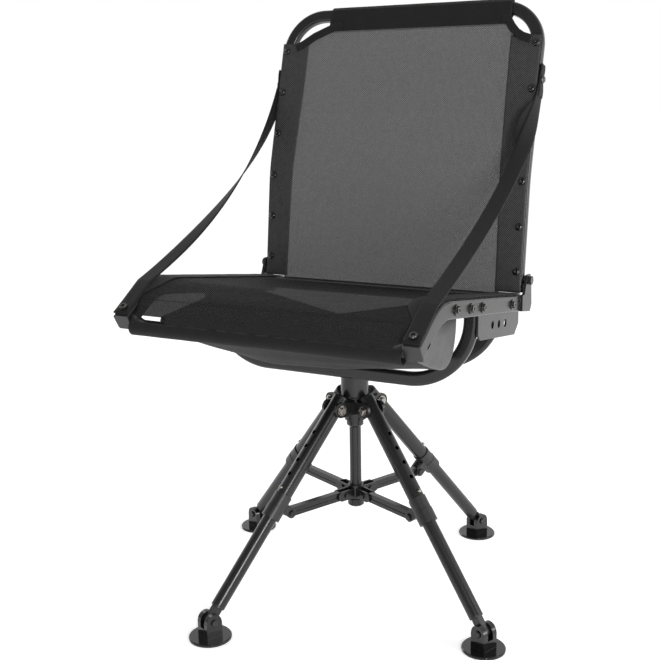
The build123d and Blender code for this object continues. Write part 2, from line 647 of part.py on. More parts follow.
def tangent_point(centre, radius, point):
    """Where a line from a point first touches a circle, on the circle's front side."""
    away = point - centre
    turn = acos(radius / away.length)
    return centre + Vector(away.X * cos(turn) - away.Y * sin(turn),
                           away.X * sin(turn) + away.Y * cos(turn)).normalized() * radius


def seat_fabric():
    """Mesh seat over the rails, with a flap and a sleeve round the front tube."""
    under = -RAIL_SIZE / 2
    flap_half, edge_y = 150.0, -262.0
    rear = (SEAT_REAR, rail_point(SEAT_REAR))
    run = (Vector(*RAIL_FRONT) - Vector(*RAIL_KNEE)).normalized()
    square = Vector(run.Y, -run.X)
    front = Vector(*RAIL_FRONT) + square * (RAIL_SIZE / 2)
    edge = front + run * ((edge_y - front.X) / run.X) + square * FABRIC
    tube = Vector(FRONT_TUBE_Y, FRONT_TUBE_Z)
    touch = tangent_point(tube, FRONT_TUBE_R + FABRIC, edge)
    inward = (touch - tube).normalized() * -FABRIC
    with BuildPart() as fabric:
        add(bent_sheet(rear, RAIL_KNEE, RAIL_FRONT, under, under - FABRIC, RAIL_BEND, RAIL_X + 11))
        with BuildSketch(Plane.XY.offset(FRONT_TUBE_Z)):
            with Locations((0, edge_y - 40)):
                Rectangle(2 * RAIL_X - RAIL_SIZE, 80)
        extrude(amount=80, mode=Mode.SUBTRACT)
        with BuildSketch(Plane.YZ.offset(-flap_half)):
            with Locations((FRONT_TUBE_Y, FRONT_TUBE_Z)):
                Circle(FRONT_TUBE_R + FABRIC)
            with BuildLine():
                Polyline(touch, edge, edge + inward, touch + inward, close=True)
            make_face()
            with Locations((FRONT_TUBE_Y, FRONT_TUBE_Z)):
                Circle(FRONT_TUBE_R, mode=Mode.SUBTRACT)
        extrude(amount=2 * flap_half)
    return fabric.part


def under_seat_pouch():
    """Cloth pouch slung below the seat in front of the cradle, as one closed solid."""
    half = 205.0

    def under_mesh(y):
        return rail_point(y, RAIL_SIZE / 2) - 0.2

    with BuildPart() as pouch:
        with BuildSketch(Plane.YZ.offset(-half)):
            with BuildLine():
                Polyline((-88, under_mesh(-88)), (-88, 430), (-104, 417), (-188, 418), (-262, 464), (-262, 494),
                         (-185, under_mesh(-185)), close=True)
            make_face()
        extrude(amount=2 * half)
        low = pouch.faces().filter_by(lambda f: abs(abs(f.center().X) - half) < 0.01).edges()
        fillet(low.filter_by(lambda e: e.center().Z < 426), 18)
    return pouch.part


def back_path():
    """Centre line of the back frame, from one foot over the top to the other."""
    (fy, fz), (ky, kz), (ty, tz) = BACK_FOOT, BACK_KNEE, BACK_TOP
    points = [(-BACK_X, fy, fz), (-BACK_X, ky, kz), (-BACK_X, ty, tz),
              (BACK_X, ty, tz), (BACK_X, ky, kz), (BACK_X, fy, fz)]
    radii = [BACK_BEND, BACK_CORNER_BEND, BACK_CORNER_BEND, BACK_BEND]
    return FilletPolyline(*points, radius=radii)


def back_frame():
    """Inverted U of flattened tube, bent back at mid height."""
    rise = Vector(0, BACK_KNEE[0] - BACK_FOOT[0], BACK_KNEE[1] - BACK_FOOT[1])
    start = Plane(origin=(-BACK_X, *BACK_FOOT), x_dir=(1, 0, 0), z_dir=rise)
    with BuildPart() as frame:
        with BuildLine() as path:
            add(back_path())
        for shrink, mode in ((0, Mode.ADD), (2 * TUBE_WALL, Mode.SUBTRACT)):
            with BuildSketch(start) as section:
                RectangleRounded(BACK_WIDTH - shrink, BACK_DEPTH - shrink, BACK_CORNER - shrink / 2)
            sweep(sections=section.sketch, path=path.wires()[0], mode=mode)
        for side in (-1, 1):
            with BuildSketch(Plane.YZ.offset(side * (BACK_X - BACK_WIDTH))):
                with Locations((HINGE_Y, HINGE_Z)):
                    Circle(PIVOT_BOLT_R)
            extrude(amount=side * 2 * BACK_WIDTH, mode=Mode.SUBTRACT)
    return frame.part


def back_fabric():
    """Mesh stretched over the front of the back frame, with rounded top corners."""
    rear = BACK_DEPTH / 2
    half, top_radius = BACK_X + 9.0, 70.0
    foot = Vector(*BACK_FOOT) + (Vector(*BACK_KNEE) - Vector(*BACK_FOOT)).normalized() * 14
    with BuildPart() as fabric:
        add(bent_sheet((foot.X, foot.Y), BACK_KNEE, BACK_TOP, rear, rear + FABRIC, BACK_BEND, half))
        top = fabric.faces().sort_by(Axis.Z)[-1]
        corners = fabric.edges().filter_by(
            lambda e: abs(abs(e.center().X) - half) < 0.01 and e.center().Z > BACK_TOP[1] - 8 and e.length < 3)
        fillet(corners, top_radius)
    return fabric.part


def on_back_front(share):
    """A point on the back fabric's face, by share of the height from the lowest screw to the top one."""
    z = 520.0 + share * (874.0 - 520.0)
    knee_y, knee_z = BACK_KNEE
    low, high = (BACK_FOOT, BACK_KNEE) if z < knee_z else (BACK_KNEE, BACK_TOP)
    slope = (high[0] - low[0]) / (high[1] - low[1])
    return knee_y + (z - knee_z) * slope, z, slope


def back_screws():
    """Domed screws that hold the mesh on both sides of the back frame."""
    with BuildPart() as screws:
        for side in (-1, 1):
            for k in range(BACK_SCREW_COUNT):
                y, z, slope = on_back_front(k / (BACK_SCREW_COUNT - 1))
                out = Vector(0, -1, slope).normalized()
                at = Vector(side * BACK_X, y, z) + out * (BACK_DEPTH / 2 + FABRIC)
                add(dome_screw(at.X, at.Y, at.Z, tuple(out), 5.0, 3.4))
    return screws.part


def hinge_bolts():
    """The two bolts that the back turns on, with spacers between tube and bracket."""
    inner, outer = BACK_X + BACK_WIDTH / 2, BRACKET_X + BRACKET_THICK + SIDE_GAP
    with BuildPart() as bolts:
        for side in (-1, 1):
            for start, length, radius in ((BACK_X - BACK_WIDTH / 2 - 4, 4, 6.5),
                                          (BACK_X - BACK_WIDTH / 2, outer - BACK_X + BACK_WIDTH / 2, PIVOT_BOLT_R),
                                          (inner, BRACKET_X - SIDE_GAP - inner, 7.0), (outer, 5, 7.0)):
                with BuildSketch(Plane.YZ.offset(side * start)):
                    with Locations((HINGE_Y, HINGE_Z)):
                        Circle(radius)
                extrude(amount=side * length)
    return bolts.part


def strap_top():
    """Where a strap is bolted to the side of the back frame."""
    slope = (BACK_TOP[0] - BACK_KNEE[0]) / (BACK_TOP[1] - BACK_KNEE[1])
    return BACK_KNEE[0] + (STRAP_BOLT_Z - BACK_KNEE[1]) * slope


def strap_bolts():
    """Bolts through the straps' upper ends, on the sides of the back frame."""
    with BuildPart() as bolts:
        for side in (-1, 1):
            add(dome_screw(side * (BACK_X + BACK_WIDTH / 2), strap_top(), STRAP_BOLT_Z, (side, 0, 0), 7.0, 7))
    return bolts.part


def strap(side):
    """Webbing strap that hangs from the side of the back and turns flat on to the rail's front slope."""
    sections = 12
    run = Vector(0, RAIL_FRONT[0] - RAIL_KNEE[0], RAIL_FRONT[1] - RAIL_KNEE[1]).normalized()
    up = Vector(0, run.Z, -run.Y)
    slope_end = Vector(0, *RAIL_FRONT) + up * (RAIL_SIZE / 2 + FABRIC + STRAP_THICK / 2 + STRAP_GAP)
    start_x = BACK_X + BACK_WIDTH / 2 + 0.4 + STRAP_THICK / 2
    with BuildLine(Plane.YZ, mode=Mode.PRIVATE) as hang:
        Bezier(*STRAP_CURVE)
    with BuildPart() as band:
        for k in range(sections + 1):
            share = k / sections
            eased = share * share * (3 - 2 * share)
            at, along = hang.line @ share, hang.line % share
            x = side * (start_x + (RAIL_X - start_x) * eased)
            flat = Vector(1, 0, 0).rotate(Axis((0, 0, 0), along), -90 * side * (1 - eased))
            with BuildSketch(Plane(origin=(x, at.Y, at.Z), x_dir=flat, z_dir=along)):
                Rectangle(STRAP_WIDTH, STRAP_THICK)
        for back in (34.0, 0.0):
            at = slope_end - run * back
            with BuildSketch(Plane(origin=(side * RAIL_X, at.Y, at.Z), x_dir=(1, 0, 0), z_dir=run)):
                Rectangle(STRAP_WIDTH, STRAP_THICK)
        loft(ruled=True)
    return band.part


os.makedirs("parts", exist_ok=True)
write(hub_casting(), "hub_casting")
write(hub_bolts(), "hub_bolts")
write(centre_post(), "centre_post")
write(swivel_spindle(), "swivel_spindle")
write(swivel_bearings(), "swivel_bearings")
write(spindle_nut(), "spindle_nut")
write(spider(), "spider")
for number, azimuth in enumerate(LEG_AZIMUTHS, start=1):
    for make in (upper_leg, leg_cap, leg_collar, strut, lower_leg, snap_button, foot_knuckle, foot):
        write(make(azimuth), f"{make.__name__}_{number}")
write(swivel_housing(), "swivel_housing")
write(swivel_plate(), "swivel_plate")
for side, name in ((-1, "left"), (1, "right")):
    write(rail(side), f"rail_{name}")
    write(strap(side), f"strap_{name}")
write(rail_end_caps(), "rail_end_caps")
write(front_tube(), "front_tube")
write(rear_crossbar(), "rear_crossbar")
for name, y in CRADLE_YS.items():
    write(cradle_tube(y), f"cradle_tube_{name}")
write(mount_plates(), "mount_plates")
write(hinge_brackets(), "hinge_brackets")
write(seat_screws(), "seat_screws")
write(seat_fabric(), "seat_fabric")
write(under_seat_pouch(), "under_seat_pouch")
write(back_frame(), "back_frame")
write(back_fabric(), "back_fabric")
write(back_screws(), "back_screws")
write(hinge_bolts(), "hinge_bolts")
write(strap_bolts(), "strap_bolts")
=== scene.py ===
"""Looks of the folding swivel blind chair: fabrics, webbing, screws and finishes around the CAD frame."""

import json
import math

import bpy
from mathutils import Matrix, Vector, noise


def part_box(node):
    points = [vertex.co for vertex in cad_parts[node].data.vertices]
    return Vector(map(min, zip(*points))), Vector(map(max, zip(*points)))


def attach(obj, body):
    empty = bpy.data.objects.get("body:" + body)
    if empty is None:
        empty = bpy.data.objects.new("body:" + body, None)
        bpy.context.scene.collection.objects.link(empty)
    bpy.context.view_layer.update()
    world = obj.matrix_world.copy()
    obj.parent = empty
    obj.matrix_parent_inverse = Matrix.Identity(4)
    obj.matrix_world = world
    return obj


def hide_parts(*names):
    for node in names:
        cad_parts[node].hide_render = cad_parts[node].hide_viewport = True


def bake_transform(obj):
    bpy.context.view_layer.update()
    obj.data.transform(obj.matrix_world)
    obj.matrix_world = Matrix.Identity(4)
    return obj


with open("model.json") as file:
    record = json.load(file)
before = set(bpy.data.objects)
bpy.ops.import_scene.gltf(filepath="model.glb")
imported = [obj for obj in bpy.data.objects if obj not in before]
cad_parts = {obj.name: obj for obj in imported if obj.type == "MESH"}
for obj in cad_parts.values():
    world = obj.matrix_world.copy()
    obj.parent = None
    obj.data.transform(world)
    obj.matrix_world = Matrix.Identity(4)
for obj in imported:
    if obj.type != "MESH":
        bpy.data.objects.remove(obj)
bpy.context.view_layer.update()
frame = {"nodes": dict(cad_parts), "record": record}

# Driving sizes, in metres, in the CAD frame.
RAIL_X, RAIL_HALF = 0.2273, 0.0127
RAIL_LINE = ((0.118, 0.4771), (-0.2256, 0.5321), (-0.2935, 0.4913), 0.090)
BACK_X, BACK_HALF_WIDTH, BACK_HALF_DEPTH = 0.227, 0.0100, 0.0080
BACK_LINE = ((0.1335, 0.492), (0.1553, 0.6744), (0.2303, 0.9385), 0.300)
SEAT_HALF, SEAT_REAR_Y = 0.2375, 0.1165
HEM_INNER, HEM_TAPER = 0.196, 0.035
FLAP_HALF, FLAP_EDGE_Y, SLOT_SHARE = 0.154, -0.262, 0.34
FRONT_TUBE, FRONT_TUBE_R = (-0.290, 0.484), 0.010
CLOTH = 0.0014
CLOTH_LIFT = CLOTH / 2 + 0.0003
STRAP_CURVE = ((0.194, 0.811), (0.130, 0.700), (-0.060, 0.600), (-0.240, 0.5425))
STRAP_WIDTH, STRAP_THICK = 0.025, 0.0016
SIDES = ((-1, "left"), (1, "right"))


# ---------- materials ----------
BAND_PITCH_AT_SCALE_1 = 0.628


class Nodes:
    """A material's node tree, with short calls for the few nodes that the finishes share."""

    def __init__(self, name):
        self.material = bpy.data.materials.new(name)
        self.material.use_nodes = True
        self.tree = self.material.node_tree
        self.shader = self.tree.nodes["Principled BSDF"]
        self.place = self.node("ShaderNodeTexCoord").outputs["Object"]

    def node(self, kind, **values):
        made = self.tree.nodes.new(kind)
        for key, value in values.items():
            if key in made.inputs:
                made.inputs[key].default_value = value
            else:
                setattr(made, key, value)
        return made

    def link(self, source, target):
        self.tree.links.new(source, target)

    def noise(self, scale, detail=3.0, roughness=0.55):
        made = self.node("ShaderNodeTexNoise")
        made.inputs["Scale"].default_value = scale
        made.inputs["Detail"].default_value = detail
        made.inputs["Roughness"].default_value = roughness
        self.link(self.place, made.inputs["Vector"])
        return made.outputs["Fac"]

    def wave(self, scale, flip=(1, 1, 1), distortion=0.0):
        made = self.node("ShaderNodeTexWave", bands_direction="DIAGONAL")
        made.inputs["Scale"].default_value = scale
        made.inputs["Distortion"].default_value = distortion
        turned = self.node("ShaderNodeMapping")
        turned.inputs["Scale"].default_value = flip
        self.link(self.place, turned.inputs["Vector"])
        self.link(turned.outputs["Vector"], made.inputs["Vector"])
        return made.outputs["Fac"]

    def math(self, operation, a, b):
        made = self.node("ShaderNodeMath", operation=operation)
        for socket, value in zip(made.inputs, (a, b)):
            if isinstance(value, (int, float)):
                socket.default_value = value
            else:
                self.link(value, socket)
        return made.outputs[0]

    def ramp(self, source, *stops):
        made = self.node("ShaderNodeValToRGB")
        marks = made.color_ramp.elements
        while len(marks) < len(stops):
            marks.new(0.5)
        for mark, (place, colour) in zip(marks, stops):
            mark.position = place
            mark.color = (*colour, 1)
        self.link(source, made.inputs["Fac"])
        return made.outputs["Color"]

    def spread(self, source, low, high):
        made = self.node("ShaderNodeMapRange")
        made.inputs["To Min"].default_value = low
        made.inputs["To Max"].default_value = high
        self.link(source, made.inputs["Value"])
        return made.outputs[0]

    def colour(self, source):
        self.link(source, self.shader.inputs["Base Color"])

    def rough(self, source, low, high):
        self.link(self.spread(source, low, high), self.shader.inputs["Roughness"])

    def bump(self, source, distance, strength=1.0, rounded=None):
        made = self.node("ShaderNodeBump")
        made.inputs["Distance"].default_value = distance
        made.inputs["Strength"].default_value = strength
        self.link(source, made.inputs["Height"])
        if rounded:
            bevel = self.node("ShaderNodeBevel")
            bevel.samples = 4
            bevel.inputs["Radius"].default_value = rounded
            self.link(bevel.outputs["Normal"], made.inputs["Normal"])
        self.link(made.outputs["Normal"], self.shader.inputs["Normal"])


def grey(level, warmth=0.0):
    """A grey as red, green and blue, tinted towards red where warmth is above zero."""
    return (level * (1 + warmth), level, level * (1 - warmth))


def powder_coat():
    """Semi-gloss black paint on steel, with a fine grain and softened edges."""
    m = Nodes("powder_coat")
    broad, fine = m.noise(9.0, 4), m.noise(1400.0, 2)
    m.colour(m.ramp(broad, (0.3, grey(0.006)), (0.7, grey(0.011))))
    m.rough(m.noise(60.0, 5), 0.20, 0.30)
    m.bump(fine, 0.00006, 0.35, rounded=0.0006)
    m.shader.inputs["Specular IOR Level"].default_value = 0.42
    return m.material


def moulded(name, level, low, high):
    """Black moulded plastic, from satin to gloss by its range of roughness."""
    m = Nodes(name)
    m.colour(m.ramp(m.noise(30.0, 4), (0.3, grey(level * 0.8)), (0.7, grey(level * 1.25))))
    m.rough(m.noise(220.0, 3), low, high)
    m.bump(m.noise(2200.0, 2), 0.00004, 0.4, rounded=0.0006)
    return m.material


def metal(name, level, warmth, low, high):
    """Bare or plated metal, slightly uneven in tone and polish."""
    m = Nodes(name)
    m.colour(m.ramp(m.noise(160.0, 5), (0.3, grey(level * 0.7, warmth)), (0.7, grey(level, warmth))))
    m.shader.inputs["Metallic"].default_value = 1.0
    m.rough(m.noise(500.0, 4), low, high)
    m.bump(m.noise(900.0, 3), 0.00005, 0.4, rounded=0.0004)
    return m.material


def mesh_cloth(name, dark, light, alpha, shine):
    """Vinyl-coated woven mesh: diagonal ribs crossed by finer threads, slightly uneven, thinly see-through."""
    m = Nodes(name)
    ribs = m.math("MULTIPLY", m.wave(165.0, distortion=0.6), 0.6)
    threads = m.math("MULTIPLY", m.wave(310.0, flip=(-1, 1, 1), distortion=0.4), 0.4)
    weave = m.math("MULTIPLY", m.math("ADD", ribs, threads), m.spread(m.noise(150.0, 4), 0.7, 1.15))
    m.colour(m.ramp(weave, (0.25, grey(dark)), (0.85, grey(light))))
    m.rough(weave, 0.8, 0.6)
    m.bump(weave, 0.0004, 0.8)
    m.shader.inputs["Specular IOR Level"].default_value = shine
    m.shader.inputs["Alpha"].default_value = alpha
    return m.material


def plain_cloth(name, level, pitch, sheen):
    """Close woven cloth or tape, with fine crossed threads."""
    m = Nodes(name)
    scale = BAND_PITCH_AT_SCALE_1 / pitch
    weave = m.math("MULTIPLY", m.wave(scale), m.wave(scale, flip=(-1, 1, 1)))
    mixed = m.math("ADD", m.math("MULTIPLY", weave, 0.6), m.math("MULTIPLY", m.noise(120.0, 4), 0.5))
    m.colour(m.ramp(mixed, (0.2, grey(level * 0.7)), (0.8, grey(level * 1.5))))
    m.rough(weave, 0.75, 0.6)
    m.bump(weave, 0.0002, 0.6)
    m.shader.inputs["Specular IOR Level"].default_value = 0.2
    m.shader.inputs["Sheen Weight"].default_value = sheen
    m.shader.inputs["Sheen Roughness"].default_value = 0.5
    return m.material


def felt():
    """Napped grey cloth, mottled and slightly creased."""
    m = Nodes("felt")
    fibres = m.math("MULTIPLY", m.noise(900.0, 4, 0.7), 0.6)
    blotches = m.math("MULTIPLY", m.noise(28.0, 5), 0.4)
    nap = m.math("ADD", fibres, blotches)
    m.colour(m.ramp(nap, (0.38, grey(0.010)), (0.66, grey(0.060))))
    m.rough(nap, 0.95, 0.8)
    m.bump(nap, 0.0006, 0.7)
    m.shader.inputs["Sheen Weight"].default_value = 0.15
    m.shader.inputs["Sheen Roughness"].default_value = 0.6
    return m.material


FRAME_BLACK = powder_coat()
SATIN_PLASTIC = moulded("satin_plastic", 0.009, 0.34, 0.46)
GLOSS_PLASTIC = moulded("gloss_plastic", 0.004, 0.08, 0.15)
ZINC = metal("zinc", 0.30, 0.08, 0.16, 0.34)
BRIGHT_ZINC = metal("bright_zinc", 0.80, 0.02, 0.14, 0.24)
BLACK_STEEL = metal("black_steel", 0.09, 0.04, 0.20, 0.34)
BACK_MESH = mesh_cloth("back_mesh", 0.050, 0.150, 0.79, 0.2)
SIDE_MESH = mesh_cloth("side_mesh", 0.004, 0.085, 1.0, 0.2)
SEAT_MESH = mesh_cloth("seat_mesh", 0.004, 0.045, 0.84, 0.08)
HEM_CLOTH = plain_cloth("hem_cloth", 0.007, 0.0009, 0.03)
WEBBING = plain_cloth("webbing", 0.006, 0.0013, 0.03)
FELT = felt()

FINISH_OF_SLOT = {
    "black_frame": FRAME_BLACK,
    "black_plastic": SATIN_PLASTIC,
    "foot_plastic": GLOSS_PLASTIC,
    "zinc_hardware": ZINC,
    "black_hardware": BLACK_STEEL,
    "seat_mesh": SEAT_MESH,
    "back_mesh": BACK_MESH,
    "pouch_felt": FELT,
    "webbing": WEBBING,
}

slot_of_node = {part["node"]: part["material_slot"] for part in frame["record"]["subparts"]}
for node_name, node in frame["nodes"].items():
    node.data.materials.clear()
    node.data.materials.append(FINISH_OF_SLOT[slot_of_node[node_name]])


# ---------- mesh helpers ----------
def piece(name, vertices, faces, finish, body, smooth=True):
    """A new mesh object that rides on a body."""
    mesh = bpy.data.meshes.new(name)
    mesh.from_pydata([tuple(v) for v in vertices], [], faces)
    mesh.update()
    for polygon in mesh.polygons:
        polygon.use_smooth = smooth
    made = bpy.data.objects.new(name, mesh)
    bpy.context.scene.collection.objects.link(made)
    made.data.materials.append(finish)
    if body:
        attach(made, body)
    return made


def settle(made):
    """Turns an object's modifiers into its own mesh."""
    graph = bpy.context.evaluated_depsgraph_get()
    final = bpy.data.meshes.new_from_object(made.evaluated_get(graph))
    made.modifiers.clear()
    made.data = final
    return made


def cloth(name, across, along, place, finish, body, thick=CLOTH):
    """A sheet over a grid: place(u, v) gives the point at shares u across and v along."""
    points = [place(i / across, j / along) for j in range(along + 1) for i in range(across + 1)]
    row = across + 1
    faces = [(j * row + i, j * row + i + 1, (j + 1) * row + i + 1, (j + 1) * row + i)
             for j in range(along) for i in range(across)]
    made = piece(name, points, faces, finish, None)
    thicken = made.modifiers.new("thickness", "SOLIDIFY")
    thicken.thickness = thick
    thicken.offset = 0.0
    settle(made)
    if body:
        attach(made, body)
    return made


def tube_along(points, radius, name, finish, body, sides=10):
    """A round bead or cord through a list of points, closed at both ends."""
    vertices, faces = [], []
    for index, point in enumerate(points):
        ahead = points[min(index + 1, len(points) - 1)] - points[max(index - 1, 0)]
        turn = ahead.to_track_quat("Z", "Y")
        for side in range(sides):
            angle = math.tau * side / sides
            vertices.append(point + turn @ Vector((math.cos(angle), math.sin(angle), 0)) * radius)
    for ring in range(len(points) - 1):
        for side in range(sides):
            after = (side + 1) % sides
            low, high = ring * sides, (ring + 1) * sides
            faces.append((low + side, low + after, high + after, high + side))
    faces.append(tuple(reversed(range(sides))))
    faces.append(tuple(range((len(points) - 1) * sides, len(points) * sides)))
    return piece(name, vertices, faces, finish, body)


def joined(name, parts, finish, body, smooth=False):
    """One piece from several lists of vertices and faces."""
    vertices, faces = [], []
    for part_vertices, part_faces in parts:
        base = len(vertices)
        vertices += part_vertices
        faces += [tuple(base + k for k in face) for face in part_faces]
    return piece(name, vertices, faces, finish, body, smooth)


def turned(profile, lobes, depth, socket, sides=36):
    """A screw head about +Z from (radius, height) points, lobed at its rim and sunk by a drive socket."""
    vertices, faces = [], []
    rings = list(profile) + [(socket[0], profile[-1][1]), (socket[0] * 0.9, profile[-1][1] - socket[1])]
    for radius, height in rings:
        for side in range(sides):
            angle = math.tau * side / sides
            dip = 1 - depth * (0.5 + 0.5 * math.cos(lobes * angle)) if lobes else 1
            vertices.append(Vector((radius * dip * math.cos(angle), radius * dip * math.sin(angle), height)))
    for ring in range(len(rings) - 1):
        for side in range(sides):
            after = (side + 1) % sides
            low, high = ring * sides, (ring + 1) * sides
            faces.append((low + side, low + after, high + after, high + side))
    faces.append(tuple(reversed(range(sides))))
    faces.append(tuple(range((len(rings) - 1) * sides, len(rings) * sides)))
    return vertices, faces


def placed(part, point, direction, spin=0.0):
    """A part moved to a point with its +Z along a direction."""
    turn = Vector(direction).to_track_quat("Z", "Y").to_matrix().to_4x4() @ Matrix.Rotation(spin, 4, "Z")
    move = Matrix.Translation(point) @ turn
    return [move @ v for v in part[0]], part[1]


KNEE_STEPS = 16


class Run:
    """A bent line in the YZ plane, with one rounded knee."""

    def __init__(self, first, knee, last, radius):
        a, b, c = (Vector(p) for p in (first, knee, last))
        into, out = (b - a).normalized(), (c - b).normalized()
        turn = math.acos(max(-1, min(1, into.dot(out))))
        cut = radius * math.tan(turn / 2)
        self.points = [a]
        start, end = b - into * cut, b + out * cut
        for k in range(KNEE_STEPS + 1):
            share = k / KNEE_STEPS
            low, high = start.lerp(b, share), b.lerp(end, share)
            self.points.append(low.lerp(high, share))
        self.points.append(c)
        self.marks = [0.0]
        for p, q in zip(self.points, self.points[1:]):
            self.marks.append(self.marks[-1] + (q - p).length)
        self.length = self.marks[-1]

    def at(self, distance, raised=0.0, up=(0, 1)):
        """Point at a distance along, and that far off on the side that up points to."""
        for k in range(len(self.points) - 1):
            if distance <= self.marks[k + 1] or k == len(self.points) - 2:
                p, q = self.points[k], self.points[k + 1]
                step = (q - p).normalized()
                point = p + step * (distance - self.marks[k])
                break
        square = Vector((-step.y, step.x))
        if square.dot(Vector(up)) < 0:
            square = -square
        return point + square * raised

    def distance_at(self, value, axis):
        """Distance along where the line crosses a value of y (axis 0) or z (axis 1)."""
        for k in range(len(self.points) - 1):
            p, q = self.points[k][axis], self.points[k + 1][axis]
            if min(p, q) - 1e-9 <= value <= max(p, q) + 1e-9:
                return self.marks[k] + (self.marks[k + 1] - self.marks[k]) * (value - p) / (q - p)
        past_start = abs(value - self.points[0][axis]) < abs(value - self.points[-1][axis])
        return 0.0 if past_start else self.length


seat_run, back_run = Run(*RAIL_LINE), Run(*BACK_LINE)


def ease(share):
    """0 to 1 with a soft start and end, held at both."""
    share = max(0.0, min(1.0, share))
    return share * share * (3 - 2 * share)


def step_at(rows, share):
    """The step of a list that a share along it falls in, and the share of that step."""
    at = share * (len(rows) - 1)
    k = min(int(at), len(rows) - 2)
    return k, at - k


def on_seat(x, distance, raised=0.0):
    """A point over the seat rails' line, raised off their top faces."""
    y, z = seat_run.at(distance, RAIL_HALF + raised, (0, 1))
    return Vector((x, y, z))


def on_back(x, distance, raised=0.0):
    """A point over the back frame's line, raised off its front face."""
    y, z = back_run.at(distance, BACK_HALF_DEPTH + raised, (-1, 0))
    return Vector((x, y, z))


# ---------- seat fabric ----------
def seat_sag(x, share):
    """How far the mesh hangs between the rails."""
    across = max(0.0, 1 - (x / 0.212) ** 2)
    return -0.007 * across * ease(min(share / 0.12, (1 - share) / 0.10))


def make_seat():
    """The mesh over the rails, the tails at their front ends and the side hems; gives the edge's distance."""
    rear = seat_run.distance_at(SEAT_REAR_Y, 0)
    edge = seat_run.distance_at(FLAP_EDGE_Y, 0)
    end = seat_run.length

    def field(u, v):
        x = (2 * u - 1) * SEAT_HALF
        distance = rear + (edge - rear) * v
        return on_seat(x, distance, CLOTH_LIFT + seat_sag(x, v))

    seat = cloth("seat_cloth", 96, 72, field, SEAT_MESH, "seat")
    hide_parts("seat_fabric")
    rail_inner = RAIL_X - RAIL_HALF
    for side, name in SIDES:
        def tail(u, v, side=side):
            x = side * (rail_inner + u * (SEAT_HALF - rail_inner))
            return on_seat(x, edge + (end - 0.0005 - edge) * v, CLOTH_LIFT)

        strip = cloth(f"seat_cloth_tail_{name}", 6, 10, tail, HEM_CLOTH, "seat")

        def hem(u, v, side=side):
            distance = rear + (end - 0.002 - rear) * v
            inner = HEM_INNER + (rail_inner + 0.001 - HEM_INNER) * ease((distance - edge) / HEM_TAPER + 1)
            x = side * (inner + u * (SEAT_HALF - inner))
            ripple = 0.0004 * noise.noise(Vector((x * 50, distance * 40, side)))
            return on_seat(x, distance, 1.5 * CLOTH + 0.0008 + seat_sag(x, min(1, v)) + ripple)

        border = cloth(f"seat_hem_{name}", 8, 72, hem, HEM_CLOTH, "seat", thick=0.0008)
    return edge


def make_flap(edge):
    """The flap from the seat's edge down to the front tube, slotted at its left end, and the tube's sleeve."""
    start = on_seat(0, edge, CLOTH_LIFT)
    hub = Vector((0, *FRONT_TUBE))
    radius = FRONT_TUBE_R + CLOTH_LIFT
    away = Vector((start.y - hub.y, start.z - hub.z))
    touch = math.atan2(away.y, away.x) + math.acos(radius / away.length)
    landing = hub + Vector((0, math.cos(touch), math.sin(touch))) * radius
    width = 2 * (RAIL_X - RAIL_HALF - 0.0005)

    def flap(u, v):
        x = (u - 0.5) * width
        short = SLOT_SHARE * ease((-x - FLAP_HALF) / 0.004) * ease((width / 2 - 0.010 + x) / 0.004)
        point = start.lerp(landing, v * (1 - short))
        return Vector((x, point.y, point.z + seat_sag(x, 1) - 0.002 * math.sin(math.pi * v)))

    front = cloth("seat_flap", 108, 12, flap, SEAT_MESH, "seat")

    sleeve_half, sleeve_turn = 0.2135, 1.86 * math.pi

    def sleeve(u, v):
        x = (2 * u - 1) * sleeve_half
        angle = touch - 0.25 + v * sleeve_turn
        reach = radius + 0.0002 * noise.noise(Vector((x * 60, v * 9, 0)))
        return Vector((x, hub.y + math.cos(angle) * reach, hub.z + math.sin(angle) * reach))

    wrap = cloth("seat_front_sleeve", 84, 40, sleeve, HEM_CLOTH, "seat")


# ---------- back fabric ----------
# The cut-out's edge at each top corner, from the sleeve to the band, as (distance from the middle, height).
CORNER_EDGE = {
    -1: ((0.120, 0.9140), (0.131, 0.9132), (0.146, 0.9075), (0.171, 0.8975), (0.192, 0.8850), (0.206, 0.8790)),
    1: ((0.166, 0.9140), (0.174, 0.9130), (0.181, 0.9020), (0.190, 0.8920), (0.201, 0.8850), (0.216, 0.8800)),
}
MESH_HALF_LOW, MESH_HALF_TOP = 0.199, 0.190
MESH_TOP_Z = 0.914
BAND_LOW_Z, BAND_RISE = 0.480, 0.411
SLEEVE_LEFT_X, SLEEVE_LENGTH = -0.147, 0.329


def mesh_half(z):
    """Half width of the light centre panel at a height."""
    share = ease((z - 0.50) / 0.42)
    return MESH_HALF_LOW + (MESH_HALF_TOP - MESH_HALF_LOW) * share


def corner_limit(x):
    """Height at which a column of the mesh meets the bound cut-out of a top corner."""
    edge = CORNER_EDGE[-1 if x < 0 else 1]
    for (x0, z0), (x1, z1) in zip(edge, edge[1:]):
        if x0 <= abs(x) <= x1:
            return z0 + (z1 - z0) * (abs(x) - x0) / (x1 - x0) + 0.002
    return MESH_TOP_Z if abs(x) < edge[0][0] else edge[-1][1]


def back_sag(x, share):
    """How far the mesh bows to the rear between the frame's tubes."""
    across = max(0.0, 1 - (x / 0.205) ** 2)
    return -0.008 * across * ease(min(share / 0.15, (1 - share) / 0.12))


